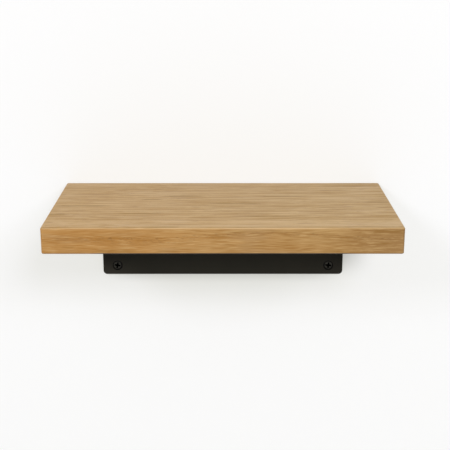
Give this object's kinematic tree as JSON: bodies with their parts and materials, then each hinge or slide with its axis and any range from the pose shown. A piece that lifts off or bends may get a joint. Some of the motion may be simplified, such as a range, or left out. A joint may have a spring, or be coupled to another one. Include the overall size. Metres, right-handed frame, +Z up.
{
  "type": "floating wall shelf",
  "caption": "Floating wall shelf: an oiled oak board on a folded black steel angle bracket that screws flat to the wall, with only the bracket's lower strip showing under the board.",
  "frame": {"origin": "on the wall face, at the centre of the four wall screws", "axes": "+X along the wall to the right, +Y into the wall, +Z up"},
  "size_m": [0.4, 0.2476, 0.123],
  "materials": {
    "oiled_oak": "straight-grained oak, matt oil, with the grain along the shelf",
    "black_powder_coat": "fine-textured matt black powder coat on folded steel sheet",
    "black_screw_steel": "black oxide steel screws, satin",
    "black_washer_steel": "black oxide steel washers, satin"
  },
  "bodies": {
    "root": {"oak_board": "oiled_oak", "folded_bracket": "black_powder_coat", "wall_screw_left_lower": "black_screw_steel", "wall_screw_right_lower": "black_screw_steel", "wall_screw_left_upper": "black_screw_steel", "wall_screw_right_upper": "black_screw_steel", "board_screw_back_1": "black_screw_steel", "board_screw_back_2": "black_screw_steel", "board_screw_back_3": "black_screw_steel", "board_screw_front_1": "black_screw_steel", "board_screw_front_2": "black_screw_steel", "board_screw_front_3": "black_screw_steel", "slot_washer_1": "black_washer_steel", "slot_washer_2": "black_washer_steel", "slot_washer_3": "black_washer_steel"}
  },
  "joints": []
}
